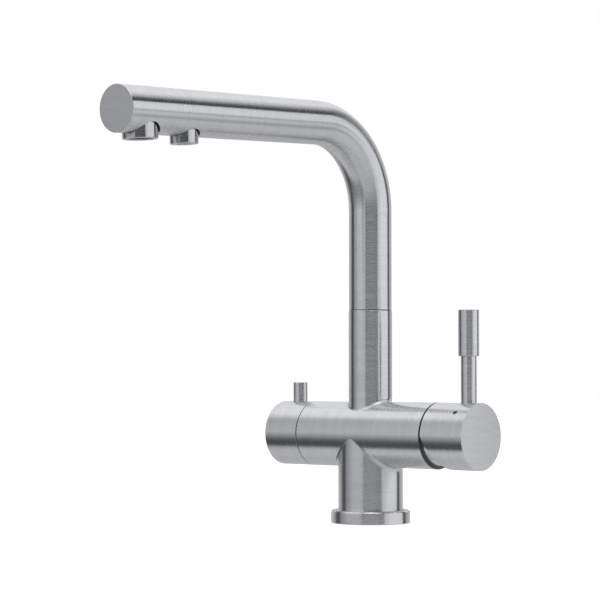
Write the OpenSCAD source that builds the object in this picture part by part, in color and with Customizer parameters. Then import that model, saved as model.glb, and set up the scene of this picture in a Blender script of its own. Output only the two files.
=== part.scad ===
// Three way filtered water tap, in millimetres, +Z up.
// The origin is the centre of the base flange's underside. The barrel lies along X, with the mixing
// lever at +X and the filter knob at -X, and the spout points towards -Y at rest.
// Pieces stacked on each other start one film above the piece below.

/* [Base] */
// Outer diameter of the base flange
flange_d = 51.7; // [50:0.1:60]
// Height of the base flange
flange_h = 8.4; // [6:0.1:14]
// Thickness of the flange's lip under the neck
lip_h = 2.5; // [2:0.1:4]

/* [Body] */
// Height of the barrel's axis above the worktop
axis_h = 57.5; // [54:0.1:75]
// Diameter of the barrel and of both knobs
barrel_d = 42.7; // [42:0.1:48]
// From the column's axis to the seam of the filter knob
barrel_left = 46.3; // [44:0.1:60]
// From the column's axis to the barrel's end behind the mixing knob
barrel_right = 56; // [55:0.1:70]
// Diameter of the column that carries the spout
column_d = 28.5; // [28.2:0.1:32]
// From the barrel's axis up to the seam where the spout turns
column_h = 80.9; // [78:0.1:120]

/* [Spout] */
// Outer diameter of the spout tube
spout_d = 28; // [27.6:0.1:30]
// Wall of the spout tube
spout_wall = 1.2; // [1:0.1:1.4]
// Radius of the bend, at the centre line
bend_r = 53; // [40:0.5:70]
// From the turning seam up to where the two centre lines of the spout meet
spout_rise = 121.7; // [100:0.1:200]
// From that meeting point to the end face, along the arm
reach = 229.9; // [190:0.1:260]
// Angle of the arm below level, in degrees
droop = 3; // [0:0.5:8]
// How far the spout turns to each side, in degrees
swivel_limit = 90; // [45:5:90]

/* [Outlets] */
// From the end face to the axis of the mixed water outlet
aerator_t = 18.3; // [17.5:0.1:22]
// Diameter of the mixed water outlet's collar
aerator_d = 21; // [20:0.1:21.6]
// How far that collar stands below the tube
aerator_drop = 3; // [2:0.1:6]
// From the end face to the axis of the filtered water outlet
nozzle_t = 54.3; // [48:0.1:58]
// Diameter of the filtered water outlet's collar
nozzle_d = 17; // [15.5:0.1:18]
// How far that collar stands below the tube
nozzle_drop = 4.5; // [3:0.1:7]

/* [Mixing lever] */
// Length of the mixing knob
knob_l = 32; // [31:0.1:40]
// Gap between the barrel and the knob
knob_gap = 1; // [0.8:0.1:2]
// From the knob's rear edge to the lever's axis
lever_inset = 22.6; // [21:0.1:24]
// Diameter of the lever
lever_d = 10; // [8:0.1:12]
// From the barrel's axis up to the grip
grip_base = 50.6; // [35:0.1:70]
// Diameter of the grip
grip_d = 13.2; // [12.5:0.1:18]
// Length of the grip
grip_l = 29.2; // [20:0.1:50]
// Lift of the lever from shut to full flow, in degrees
lever_lift = 18; // [10:1:20]
// Slant of the knob's rear edge below the pivot, which lets the knob tip, in degrees
knob_slant = 28; // [24:1:32]
// Outer diameter of the ceramic cartridge
cartridge_d = 35; // [34.6:0.1:35.2]

/* [Filter knob] */
// Length of the filter knob
filter_knob_l = 27.1; // [24:0.1:36]
// Gap between the barrel and the filter knob
filter_gap = 0.45; // [0.3:0.05:1]
// From the knob's inner edge to the pin's axis
pin_inset = 14.1; // [13.4:0.1:15]
// Diameter of the pin that turns the filter knob
pin_d = 9.5; // [7:0.1:11]
// From the barrel's axis up to the pin's top
pin_h = 34; // [28:0.1:60]

/* [Hidden] */
$fn = 96;
// How far every cut runs past the face that it opens
over = 1;
// Radial clearance where one piece turns in another, and between stacked faces
film = 0.05;
// Clearance round a piece that is put in once and stays
seat_gap = 0.1;
// Chamfer on the visible edges
edge_break = 0.35;

// Body, worked out from the sizes above
barrel_r = barrel_d / 2;
neck_inset = 0.15;
neck_r = barrel_r - neck_inset;
column_r = column_d / 2;
seam_z = axis_h + column_h;

// Base: hose entry through the lip, and the gasket in a groove of the flange's underside
entry_r = 17.5;
gasket_w = 2.6;
gasket_h = 1.7;
gasket_mid_r = (neck_r + flange_d / 2) / 2;

// Inlet manifold in the neck: three hose ports round the fixing stud
manifold_r = 15.4;
manifold_h = 18.8;
port_pcd = 19;
port_r = 4.45;
port_depth = 9;
stud_r = 3.4;
stud_depth = 12;
clip_h = 1.2;
clip_w = 2.1;
clip_bite = 1;
clip_mouth = 8;
clip_lift = 1.4;
clip_z = lip_h + clip_lift;
manifold_z = clip_z + clip_h + 2 * film;
manifold_top = manifold_z + manifold_h;

// Waterways in the body: risers are a little narrower than the galleries they meet
gallery_r = 3;
riser_r = 2.8;
filter_riser_r = 2.3;
inlet_drop = 4;
outlet_rise = 8;
outlet_way_r = 2.9;
mixed_riser_x = 7.9;
mixed_riser_r = 2.7;
filter_gallery_rise = 14.5;
filter_gallery_r = 2.5;

// Face seals: a round cord in a square groove round each way
cord_r = 0.8;
seal_mid_r = 3.95;

// Cartridge stack, outwards from the floor of its cavity
cavity_depth = 34;
base_h = 7;
disc_h = 3;
carrier_h = 5;
turret_flange_h = 2;
housing_top_h = 3.5;
nut_h = 6;
floor_x = barrel_right - cavity_depth;
base_top_x = floor_x + base_h;
fixed_top_x = base_top_x + disc_h;
moving_top_x = fixed_top_x + disc_h;
carrier_top_x = moving_top_x + carrier_h;
turret_flange_x = carrier_top_x + turret_flange_h;
shoulder_x = turret_flange_x + housing_top_h;
nut_top_x = shoulder_x + nut_h;
cavity_r = cartridge_d / 2 + seat_gap;
cartridge_r = cartridge_d / 2 - seat_gap;
thread_step = 1;
thread_r = cavity_r + thread_step;
housing_wall = 3.2;
chamber_r = cartridge_r - housing_wall;
collar_r = 11.8;
peg_r = 1.5;
peg_l = 3;
peg_y = 12;
peg_rise = 6;
fixed_disc_r = chamber_r - seat_gap;
disc_port_r = 2.6;

// Turret, pivot and the arm that drives the upper disc
pivot_x = barrel_right + knob_gap;
turret_r = 8;
turret_flange_r = 12.9;
slot_w = 6.2;
slot_h = 12.4;
pin_r = 1.5;
pivot_pin_l = 15;
pivot_margin = 3.5;
turret_end_x = pivot_x + pivot_margin;
disc_r = 9.5;
pocket_floor = 0.8;
ball_r = 1.8;
ball_play = 0.2;
arm_l = pivot_x - (moving_top_x + film + pocket_floor + ball_play + ball_r);
arm_neck_r = 1.3;
arm_neck_l = 5;
arm_r = 2.3;
disc_offset = arm_l * sin(lever_lift / 2);
rail_y = 6.5;
rail_w = 2;
rail_h = 1.5;
rail_l = 18;
mixing_pocket = 1.6;

// Stem and knob
eye_r = 4.4;
stem_bar = 6;
stem_bar_l = 9;
stem_r = 4;
stem_end_inset = 27;
stem_end_x = pivot_x + stem_end_inset;
knob_wall = 2.9;
knob_face_h = 3.4;
hub_r = 9;
hub_inset = 11;
boss_margin = 2.4;
knob_end_x = pivot_x + knob_l;
lever_x = pivot_x + lever_inset;
lever_seat = 5;
lever_spigot_r = 3;
lever_spigot_l = 8;
grip_spigot_l = 12;
grub_r = 1.5;
grub_l = 6;
grub_angle = 44;
hex_r = 0.85;
hex_depth = 1.5;
plug_h = 2;
plug_sink = 0.05;

// Trim ring in the barrel's end, held in the nut's thread. Its dome is part of a ball round the
// pivot, a little larger than the thread, and the knob clears it.
trim_wall = 1.2;
dome_step = 0.4;
dome_r = thread_r + dome_step;
dome_reach = 9;
dome_end_r = sqrt(dome_r * dome_r - dome_reach * dome_reach);
dome_lip_w = 1.7;
dome_room = 0.4;

// Filter valve, outwards from its seat
valve_depth = 28.3;
seat_u = barrel_left - valve_depth;
valve_seal_h = 1.9;
valve_disc_h = 3;
foot_h = 2.5;
valve_seal_top_u = seat_u + valve_seal_h;
valve_fixed_top_u = valve_seal_top_u + valve_disc_h;
valve_moving_top_u = valve_fixed_top_u + valve_disc_h;
foot_top_u = valve_moving_top_u + foot_h;
valve_disc_r = 7.4;
valve_bore_r = valve_disc_r + seat_gap;
valve_tube_r = 9.4;
valve_chamber_r = 9.8;
valve_seal_in_r = 4.2;
valve_thread_r = 10.4;
valve_thread_gap = 2.2;
valve_thread_l = 9;
valve_thread_u = foot_top_u + valve_thread_gap;
valve_hex_u = valve_thread_u + valve_thread_l;
valve_hex_r = 12.7;
valve_hex_h = 5;
valve_neck_r = 7;
valve_neck_l = 4.5;
valve_neck_u = valve_hex_u + valve_hex_h + valve_neck_l;
valve_window_w = 6;
valve_port_r = 1.9;
valve_port_off = 4;
hex_room_r = 14;
spindle_r = 4;
spindle_tang_w = 4;
spindle_tang_h = 1.2;
spindle_ring_gap = 2;
eclip_h = 1;
eclip_r = 6.2;
eclip_groove = 1;
filter_start_u = barrel_left + filter_gap;
filter_end_u = filter_start_u + filter_knob_l;
filter_hub_inset = 7.6;
filter_hub_r = 8.5;
filter_face_h = 3.4;
pin_u = filter_start_u + pin_inset;
spindle_past = 5;
spindle_end_u = pin_u + spindle_past;
pin_spigot_r = 2.5;
pin_spigot_l = 6;

// Swivel between the column and the spout
swivel_depth = 48;
swivel_bore_r = 11;
swivel_gap = 0.5;
spigot_l = 42;
spigot_grip = 20;
spigot_bore_r = 8.2;
spigot_r = swivel_bore_r - seat_gap;
spigot_z = seam_z - spigot_l;
swivel_floor_z = seam_z - swivel_depth;
spout_z = seam_z + swivel_gap;
glide_depth = 1.3;
glide_h = 3;
glide_split = 1.5;
glide_rises = [2, 33];
ring_rises = [10, 14.5];
stop_rise = 21;
stop_groove_depth = 1.7;
stop_thread_r = 2.5;
stop_dog_r = 1.9;
stop_reach = 1.4;
stop_margin = 1;
stop_z = spigot_z + stop_rise;
stop_tip_r = swivel_bore_r - stop_reach;
stop_hex_r = 1.4;
stop_hex_depth = 1.8;
washer_w = 2;
washer_inset = 0.3;

// Inner tube that keeps filtered water apart, and its ferrule in the body
filter_tube_r = 3;
filter_tube_in_r = 2;
socket_r = 4.1;
socket_depth = 10;
socket_z = swivel_floor_z - socket_depth;
ferrule_foot = 0.3;
ferrule_seat_h = 4.3;
ferrule_ring_rise = 2.2;
ferrule_flange_r = 4.9;
ferrule_flange_h = 2;
ferrule_grip = 3;
ferrule_z = socket_z + ferrule_foot;
tube_foot_z = ferrule_z + ferrule_seat_h;
ferrule_cord_r = 0.5;

// Spout, worked out from the sizes above
spout_r = spout_d / 2;
spout_in_r = spout_r - spout_wall;
crown_z = seam_z + spout_rise;
bend_angle = 90 + droop;
tangent_l = bend_r * tan(bend_angle / 2);
bend_z = crown_z - tangent_l;
bend_draw = 0.1;
bend_lap = 0.2;
cap_h = 1.5;
cap_plug_h = 3.5;

// Outlet block in the end of the arm, with a socket for each outlet
block_r = spout_in_r - seat_gap;
block_start_t = cap_h + cap_plug_h + seat_gap;
block_past = 17.5;
block_end_t = nozzle_t + block_past;
mixed_way_rise = 8.6;
block_way_r = 2.8;
tube_socket_l = 8;
hole_margin = 1.2;
spot_margin = 0.25;
aerator_r = aerator_d / 2;
aerator_seat = 7.6;
aerator_thread_r = 9.4;
aerator_top = 1;
aerator_room = 2;
aerator_bore_r = 8.4;
aerator_lip = 0.7;
aerator_lip_h = 1;
cell_r = 1;
cell_pitch = 2;
cell_rings = 3;
cell_h = 3;
insert_wall = 0.9;
nozzle_r = nozzle_d / 2;
nozzle_seat = 9.3;
nozzle_thread_r = 6.4;
nozzle_top = 3;
nozzle_room = 2;
nozzle_bore_r = 5;
nozzle_lip = 0.5;
jet_r = 0.9;
jet_ring_r = 2.9;
jet_count = 6;
insert_h = 6;
washer_h = 1.8;
washer_in_r = 3.6;

// Places a piece turned about Z so that its Z runs out along the barrel, towards the lever
module on_barrel() translate([0, 0, axis_h]) rotate([0, 90, 0]) children();

// The same towards the filter knob
module on_filter_side() translate([0, 0, axis_h]) rotate([0, -90, 0]) children();

// A point on the arm at t from the end face, with Z square to the arm and up
module on_arm(t) translate([0, 0, crown_z]) rotate([droop, 0, 0]) translate([0, t - reach, 0])
    children();

// Round bar from z0 to z1 with both edges chamfered
module turned_bar(r, z0, z1, chamfer) rotate_extrude()
    polygon([[0, z0], [r - chamfer, z0], [r, z0 + chamfer], [r, z1 - chamfer], [r - chamfer, z1],
        [0, z1]]);

module rod(r, z0, z1) translate([0, 0, z0]) cylinder(r = r, h = z1 - z0);

module ring(r_out, r_in, z0, z1) difference() {
    rod(r_out, z0, z1);
    rod(r_in, z0 - over, z1 + over);
}

module cord_ring(mid_r, section_r) rotate_extrude() translate([mid_r, 0]) circle(section_r, $fn = 32);

// A straight way along X at height rise above the barrel's axis
module way_x(y, rise, x0, x1, r) translate([x0, y, axis_h + rise]) rotate([0, 90, 0])
    cylinder(r = r, h = x1 - x0);

// The three hose ports in plan: hot in front, cold behind, filtered on the filter knob's side
module at_mixed_ports() for (side = [-1, 1]) rotate([0, 0, side * 60])
    translate([port_pcd / 2, 0, 0]) children();
module at_filter_port() translate([-port_pcd / 2, 0, 0]) children();
inlet_x = port_pcd / 2 * cos(60);
inlet_y = port_pcd / 2 * sin(60);

// Base

module base_flange() color("silver") difference() {
    turned_bar(flange_d / 2, 0, flange_h, edge_break);
    rod(neck_r + seat_gap, lip_h, flange_h + over);
    rod(entry_r, -over, flange_h);
    ring(gasket_mid_r + gasket_w / 2 + seat_gap, gasket_mid_r - gasket_w / 2 - seat_gap, -over,
        gasket_h + film);
}

module base_gasket() color("dimgray")
    ring(gasket_mid_r + gasket_w / 2, gasket_mid_r - gasket_w / 2, 0, gasket_h);

// Body

module body_shell() color("silver") difference() {
    union() {
        rod(neck_r, lip_h, axis_h);
        on_barrel() turned_bar(barrel_r, -barrel_left, barrel_right, edge_break);
        turned_bar(column_r, axis_h, seam_z, edge_break);
    }
    manifold_room();
    mixed_ways();
    cartridge_room();
    filter_ways();
    valve_room();
    swivel_room();
}

module manifold_room() {
    rod(manifold_r + seat_gap, lip_h - over, manifold_top + film);
    rod(manifold_r + seat_gap + clip_bite, clip_z, clip_z + clip_h + 2 * film);
}

module mixed_ways() {
    at_mixed_ports() rod(riser_r, manifold_top, axis_h - inlet_drop);
    for (side = [-1, 1])
        way_x(side * inlet_y, -inlet_drop, inlet_x - gallery_r, floor_x + over, gallery_r);
    way_x(0, outlet_rise, mixed_riser_x - outlet_way_r, floor_x + over, outlet_way_r);
    translate([mixed_riser_x, 0, 0])
        rod(mixed_riser_r, axis_h + outlet_rise, swivel_floor_z + over);
}

module cartridge_room() {
    on_barrel() rod(cavity_r, floor_x, shoulder_x + over);
    on_barrel() rod(thread_r, shoulder_x, barrel_right + over);
    for (side = [-1, 1]) way_x(side * peg_y, peg_rise, floor_x - peg_l - seat_gap,
        floor_x + over, peg_r + film);
}

module filter_ways() {
    at_filter_port() rod(filter_riser_r, manifold_top, axis_h);
    way_x(0, 0, -seat_u - over, filter_riser_r - port_pcd / 2, filter_gallery_r);
    translate([-window_u, 0, 0]) rod(filter_riser_r, axis_h, axis_h + filter_gallery_rise);
    way_x(0, filter_gallery_rise, -window_u - filter_gallery_r, filter_gallery_r,
        filter_gallery_r);
    rod(filter_riser_r, axis_h + filter_gallery_rise, socket_z + over);
}

module valve_room() on_filter_side() {
    rod(valve_chamber_r, seat_u, valve_thread_u + over);
    rod(valve_thread_r + film, valve_thread_u, valve_hex_u + over);
    rod(hex_room_r, valve_hex_u, barrel_left + over);
}

module swivel_room() {
    rod(swivel_bore_r, swivel_floor_z, seam_z + over);
    rod(socket_r, socket_z, swivel_floor_z + over);
    translate([0, 0, stop_z]) rotate([-90, 0, 0])
        rod(stop_thread_r + film, stop_tip_r, column_r + over);
}

module inlet_manifold() color("goldenrod") difference() {
    rod(manifold_r, manifold_z, manifold_top);
    at_mixed_ports() manifold_port(gallery_r);
    at_filter_port() manifold_port(filter_gallery_r);
    rod(stud_r, manifold_z - over, manifold_z + stud_depth);
}

module manifold_port(way_r) {
    rod(port_r, manifold_z - over, manifold_z + port_depth);
    rod(way_r, manifold_z, manifold_top + over);
    ring(seal_mid_r + cord_r + seat_gap, seal_mid_r - cord_r - seat_gap,
        manifold_top - 2 * cord_r - film, manifold_top + over);
}

module manifold_seal() translate([0, 0, manifold_top - cord_r]) cord_ring(seal_mid_r, cord_r);

module manifold_o_rings() color("dimgray") {
    at_mixed_ports() manifold_seal();
    at_filter_port() manifold_seal();
}

module manifold_circlip() color("gray") difference() {
    ring(manifold_r + clip_bite, manifold_r + clip_bite - clip_w, clip_z + film,
        clip_z + film + clip_h);
    translate([0, manifold_r, clip_z]) cube([clip_mouth, manifold_r, manifold_r], center = true);
}

// Ceramic cartridge in the lever end of the barrel

module at_cartridge_ports() {
    for (side = [-1, 1]) translate([inlet_drop, side * inlet_y, 0]) children();
    translate([-outlet_rise, 0, 0]) children();
}

module cartridge_base() color("whitesmoke") on_barrel() {
    difference() {
        rod(cartridge_r, floor_x + film, base_top_x);
        at_cartridge_ports() rod(disc_port_r, floor_x - over, base_top_x + over);
        at_cartridge_ports() ring(seal_mid_r + cord_r + seat_gap, seal_mid_r - cord_r - seat_gap,
            floor_x - over, floor_x + film + 2 * cord_r + film);
    }
    for (side = [-1, 1]) translate([-peg_rise, side * peg_y, 0])
        rod(peg_r, floor_x - peg_l, floor_x + base_h / 2);
}

module cartridge_seals() color("dimgray") on_barrel() at_cartridge_ports()
    translate([0, 0, floor_x + film + cord_r]) cord_ring(seal_mid_r, cord_r);

module fixed_disc() color("white") on_barrel() difference() {
    rod(fixed_disc_r, base_top_x + film, fixed_top_x);
    at_cartridge_ports() rod(disc_port_r, base_top_x - over, fixed_top_x + over);
}

module cartridge_housing() color("whitesmoke") on_barrel() difference() {
    union() {
        rod(cartridge_r, base_top_x + film, shoulder_x);
        rod(collar_r, base_top_x + film, nut_top_x);
    }
    rod(chamber_r, base_top_x - over, turret_flange_x);
    rod(turret_r + film, base_top_x, nut_top_x + over);
}

module cartridge_nut() color("goldenrod") on_barrel()
    ring(thread_r - seat_gap, collar_r + seat_gap, shoulder_x + film, nut_top_x);

// The zone of a ball round the pivot that lies between two places along the barrel
module ball_zone(r, x0, x1) intersection() {
    at_pivot() sphere(r = r);
    on_barrel() rod(barrel_r, x0, x1);
}

module trim_ring() color("silver") difference() {
    union() {
        on_barrel() rod(thread_r - seat_gap, nut_top_x + film, barrel_right + 2 * film);
        ball_zone(dome_r, barrel_right + film, pivot_x + dome_reach);
    }
    on_barrel() rod(thread_r - seat_gap - trim_wall, nut_top_x - over, pivot_x);
    ball_zone(dome_r - trim_wall, barrel_right, pivot_x + dome_reach - trim_wall);
    on_barrel() rod(dome_end_r - dome_lip_w, pivot_x, pivot_x + dome_reach + over);
}

module turret() color("ivory") on_barrel() difference() {
    union() {
        rod(turret_flange_r, carrier_top_x + film, turret_flange_x - film);
        rod(turret_r, carrier_top_x + film, turret_end_x);
        for (side = [-1, 1]) translate([-rail_l / 2, side * rail_y - rail_w / 2,
            carrier_top_x - rail_h]) cube([rail_l, rail_w, rail_h + turret_flange_h / 2]);
    }
    translate([-slot_h / 2, -slot_w / 2, carrier_top_x - rail_h - over])
        cube([slot_h, slot_w, turret_end_x - carrier_top_x + rail_h + 2 * over]);
    translate([0, 0, pivot_x]) rotate([90, 0, 0]) rod(pin_r + film, -turret_r - over,
        turret_r + over);
}

module pivot_pin() color("gray") on_barrel() translate([0, 0, pivot_x]) rotate([90, 0, 0])
    rod(pin_r, -pivot_pin_l / 2, pivot_pin_l / 2);

// The upper disc lies off centre while the tap is shut, at the end of the arm's swing
module at_disc() on_barrel() translate([disc_offset, 0, 0]) children();

module moving_disc() color("white") at_disc() difference() {
    rod(disc_r, fixed_top_x + film, moving_top_x);
    for (side = [-1, 1]) translate([0, side * (disc_port_r - film), 0])
        rod(disc_port_r, fixed_top_x - over, fixed_top_x + film + mixing_pocket);
    translate([-disc_r / 2, 0, 0])
        rod(disc_port_r, fixed_top_x - over, fixed_top_x + film + mixing_pocket);
}

module disc_carrier() color("ivory") at_disc() difference() {
    rod(disc_r, moving_top_x + film, carrier_top_x);
    rod(ball_r + seat_gap, moving_top_x + film + pocket_floor, carrier_top_x + over);
    for (side = [-1, 1]) translate([-disc_r - over, side * rail_y - rail_w / 2 - seat_gap,
        carrier_top_x - rail_h - seat_gap])
        cube([2 * (disc_r + over), rail_w + 2 * seat_gap, rail_h + seat_gap + over]);
}

// Mixing lever

module at_pivot() translate([pivot_x, 0, axis_h]) children();

module lever_stem() color("goldenrod") difference() {
    union() {
        at_pivot() rotate([90, 0, 0]) rod(eye_r, -stem_bar / 2, stem_bar / 2);
        at_pivot() translate([0, -stem_bar / 2, -stem_bar / 2])
            cube([stem_bar_l, stem_bar, stem_bar]);
        on_barrel() rod(stem_r, pivot_x + stem_bar_l - over, stem_end_x);
        at_pivot() rotate([0, -90 - lever_lift / 2, 0]) {
            rod(arm_r, 0, arm_l - arm_neck_l);
            rod(arm_neck_r, 0, arm_l);
            translate([0, 0, arm_l]) sphere(ball_r);
        }
    }
    at_pivot() rotate([90, 0, 0]) rod(pin_r + film, -stem_bar, stem_bar);
}

// Looks from the knob's axis at angle degrees from the top, turned towards the front
module on_knob(angle) translate([lever_x, 0, axis_h]) rotate([angle, 0, 0]) children();

module mixer_knob() color("silver") difference() {
    on_barrel() turned_bar(barrel_r, pivot_x, knob_end_x, edge_break);
    difference() {
        on_barrel() rod(barrel_r - knob_wall, pivot_x - over, knob_end_x - knob_face_h);
        on_barrel() rod(hub_r, pivot_x + hub_inset, knob_end_x);
        on_knob(0) rod(lever_d / 2 + boss_margin, 0, barrel_r);
        on_knob(grub_angle) rod(grub_r + boss_margin, 0, barrel_r);
    }
    on_barrel() rod(stem_r + film, pivot_x, stem_end_x + seat_gap);
    on_knob(0) rod(lever_d / 2 + film, barrel_r - lever_seat, barrel_r + over);
    on_knob(0) rod(lever_spigot_r + film, barrel_r - lever_seat - lever_spigot_l - film,
        barrel_r);
    on_knob(grub_angle) rod(grub_r + film, 0, barrel_r + over);
    ball_zone(dome_r + dome_room, pivot_x - over, pivot_x + dome_reach);
    at_pivot() rotate([0, -knob_slant, 0]) translate([-barrel_d, -barrel_d, -barrel_d])
        cube([barrel_d, 2 * barrel_d, barrel_d]);
}

module knob_grub_screw() color("gray") on_knob(grub_angle) grub_screw();

module grub_screw() difference() {
    rod(grub_r, stem_r + film, stem_r + film + grub_l);
    translate([0, 0, stem_r + film + grub_l - hex_depth])
        cylinder(r = hex_r, h = hex_depth + over, $fn = 6);
}

// Two half discs flush with the knob, red to the front and blue to the back
module half_plug(side) on_knob(grub_angle) intersection() {
    rod(grub_r - film, barrel_r - plug_h, barrel_r - plug_sink);
    translate([-grub_r, side < 0 ? film / 2 - barrel_r : film / 2, 0])
        cube([2 * grub_r, barrel_r - film, barrel_r]);
}

module indicator_red() color("firebrick") half_plug(-1);

module indicator_blue() color("navy") half_plug(1);

module lever_rod() color("silver") on_knob(0) {
    rod(lever_d / 2, barrel_r - lever_seat + film, grip_base - film);
    rod(lever_spigot_r, barrel_r - lever_seat - lever_spigot_l, grip_base + grip_spigot_l);
}

module lever_grip() color("silver") on_knob(0) difference() {
    turned_bar(grip_d / 2, grip_base, grip_base + grip_l, edge_break);
    rod(lever_spigot_r + film, grip_base - over, grip_base + grip_spigot_l + seat_gap);
}

// Filter valve and knob

window_u = (valve_fixed_top_u + valve_moving_top_u + foot_h) / 2;

module filter_seat_seal() color("dimgray") on_filter_side()
    ring(valve_disc_r, valve_seal_in_r, seat_u + film, valve_seal_top_u);

module valve_ports() for (side = [-1, 1]) translate([0, side * valve_port_off, 0]) children();

module filter_fixed_disc() color("white") on_filter_side() difference() {
    rod(valve_disc_r, valve_seal_top_u + film, valve_fixed_top_u);
    valve_ports() rod(valve_port_r, seat_u, valve_fixed_top_u + over);
}

// Turned a quarter from the fixed disc's ports while the valve is shut
module filter_moving_disc() color("white") on_filter_side() rotate([0, 0, 90]) difference() {
    rod(valve_disc_r, valve_fixed_top_u + film, valve_moving_top_u);
    valve_ports() rod(valve_port_r, seat_u, valve_moving_top_u + over);
    translate([-spindle_tang_w / 2 - seat_gap, -valve_disc_r,
        valve_moving_top_u - spindle_tang_h - seat_gap])
        cube([spindle_tang_w + 2 * seat_gap, 2 * valve_disc_r, spindle_tang_h + over]);
}

module filter_valve_body() color("goldenrod") on_filter_side() difference() {
    union() {
        rod(valve_tube_r, seat_u + seat_gap, valve_thread_u + film);
        rod(valve_thread_r, valve_thread_u + film, valve_hex_u + film);
        translate([0, 0, valve_hex_u + film]) cylinder(r = valve_hex_r, h = valve_hex_h, $fn = 6);
        rod(valve_neck_r, valve_hex_u, valve_neck_u);
    }
    rod(valve_bore_r, seat_u - over, foot_top_u + seat_gap);
    rod(spindle_r + film, seat_u, valve_neck_u + over);
    translate([-valve_chamber_r, -valve_window_w / 2, valve_fixed_top_u + film])
        cube([2 * valve_chamber_r, valve_window_w, valve_disc_h + foot_h]);
}

ring_seats = [valve_thread_u + valve_thread_l / 2 - spindle_ring_gap,
    valve_thread_u + valve_thread_l / 2 + spindle_ring_gap];

module filter_spindle() color("goldenrod") on_filter_side() difference() {
    union() {
        rod(valve_disc_r, valve_moving_top_u + film, foot_top_u);
        rod(spindle_r, valve_moving_top_u + film, spindle_end_u);
        rotate([0, 0, 90]) intersection() {
            translate([-spindle_tang_w / 2, -valve_disc_r, valve_moving_top_u - spindle_tang_h])
                cube([spindle_tang_w, 2 * valve_disc_r, spindle_tang_h + foot_h / 2]);
            rod(valve_disc_r, seat_u, foot_top_u);
        }
    }
    for (u = ring_seats) ring(spindle_r + over, spindle_r + film - 2 * cord_r - film,
        u - cord_r - seat_gap, u + cord_r + seat_gap);
    ring(spindle_r + over, spindle_r - eclip_groove, valve_neck_u + film,
        valve_neck_u + 3 * film + eclip_h);
}

module spindle_o_rings() color("dimgray") on_filter_side() for (u = ring_seats)
    translate([0, 0, u]) cord_ring(spindle_r - cord_r + film / 2, cord_r);

module spindle_clip() color("gray") on_filter_side() difference() {
    ring(eclip_r, spindle_r - eclip_groove + film, valve_neck_u + 2 * film,
        valve_neck_u + 2 * film + eclip_h);
    translate([0, -spindle_r / 2, valve_neck_u])
        cube([eclip_r + over, spindle_r, eclip_h + over]);
}

module on_filter_knob(angle) translate([-pin_u, 0, axis_h]) rotate([angle, 0, 0]) children();

module filter_knob() color("silver") difference() {
    on_filter_side() turned_bar(barrel_r, filter_start_u, filter_end_u, edge_break);
    difference() {
        on_filter_side() rod(barrel_r - knob_wall, filter_start_u - over,
            filter_end_u - filter_face_h);
        on_filter_side() rod(filter_hub_r, filter_start_u + filter_hub_inset, filter_end_u);
        on_filter_knob(0) rod(pin_d / 2 + boss_margin, 0, barrel_r);
        on_filter_knob(-90) rod(grub_r + boss_margin, 0, barrel_r);
    }
    on_filter_side() rod(spindle_r + film, filter_start_u, spindle_end_u + seat_gap);
    on_filter_knob(0) rod(pin_d / 2 + film, barrel_r - lever_seat, barrel_r + over);
    on_filter_knob(0) rod(pin_spigot_r + film, barrel_r - lever_seat - pin_spigot_l - film,
        barrel_r);
    on_filter_knob(-90) rod(grub_r + film, 0, barrel_r + over);
}

module filter_knob_screw() color("gray") on_filter_knob(-90) grub_screw();

module filter_pin() color("silver") on_filter_knob(0) {
    turned_bar(pin_d / 2, barrel_r - lever_seat + film, pin_h, edge_break);
    rod(pin_spigot_r, barrel_r - lever_seat - pin_spigot_l, barrel_r);
}

// Spout

// A round bar along the spout's centre line, from height z0 to t from the end face. The bend is drawn
// in a little, as bent tube is, and the straight lengths lap over its ends.
module spout_run(r, z0, t) {
    rod(r, z0, bend_z + bend_lap);
    translate([0, -bend_r, bend_z]) rotate([90, 0, 90]) rotate_extrude(angle = bend_angle)
        translate([bend_r, 0]) circle(r - bend_draw);
    on_arm(t) rotate([-90, 0, 0]) rod(r, 0, reach - tangent_l - t + bend_lap);
}

module spout_tube() color("silver") difference() {
    spout_run(spout_r, spout_z, cap_h);
    spout_run(spout_in_r, spout_z - over, cap_h - over);
    on_arm(aerator_t) rod(aerator_r + hole_margin, -spout_d, 0);
    on_arm(nozzle_t) rod(nozzle_r + hole_margin, -spout_d, 0);
}

module spout_end_cap() color("silver") on_arm(0) rotate([-90, 0, 0]) {
    turned_bar(spout_r, 0, cap_h - film, edge_break);
    rod(spout_in_r - seat_gap, cap_h / 2, cap_h + cap_plug_h);
}

module swivel_spigot() color("goldenrod") difference() {
    union() {
        rod(spigot_r, spigot_z, spout_z);
        rod(spout_in_r - film, spout_z, spout_z + spigot_grip);
    }
    rod(spigot_bore_r, spigot_z - over, spout_z + spigot_grip + over);
    for (rise = glide_rises) ring(swivel_bore_r + over, spigot_r - glide_depth,
        spigot_z + rise - film, spigot_z + rise + glide_h + film);
    for (rise = ring_rises) ring(swivel_bore_r + over, swivel_bore_r - 2 * (cord_r + film),
        spigot_z + rise - cord_r - seat_gap, spigot_z + rise + cord_r + seat_gap);
    stop_groove();
}

// Runs round the back as far as the spout turns, and the stop screw's dog rides in it
module stop_groove() {
    half = swivel_limit + asin(stop_dog_r / stop_tip_r) + stop_margin;
    rotate([0, 0, 90 - half]) rotate_extrude(angle = 2 * half)
        translate([spigot_r - stop_groove_depth, stop_z - stop_dog_r - seat_gap])
        square([stop_groove_depth + over, 2 * (stop_dog_r + seat_gap)]);
}

module swivel_stop_screw() color("gray") translate([0, 0, stop_z]) rotate([-90, 0, 0])
    difference() {
        union() {
            rod(stop_dog_r, stop_tip_r, column_r - edge_break);
            rod(stop_thread_r, swivel_bore_r + seat_gap, column_r - edge_break);
        }
        translate([0, 0, column_r - stop_hex_depth - edge_break])
            cylinder(r = stop_hex_r, h = stop_hex_depth + over, $fn = 6);
    }

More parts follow.
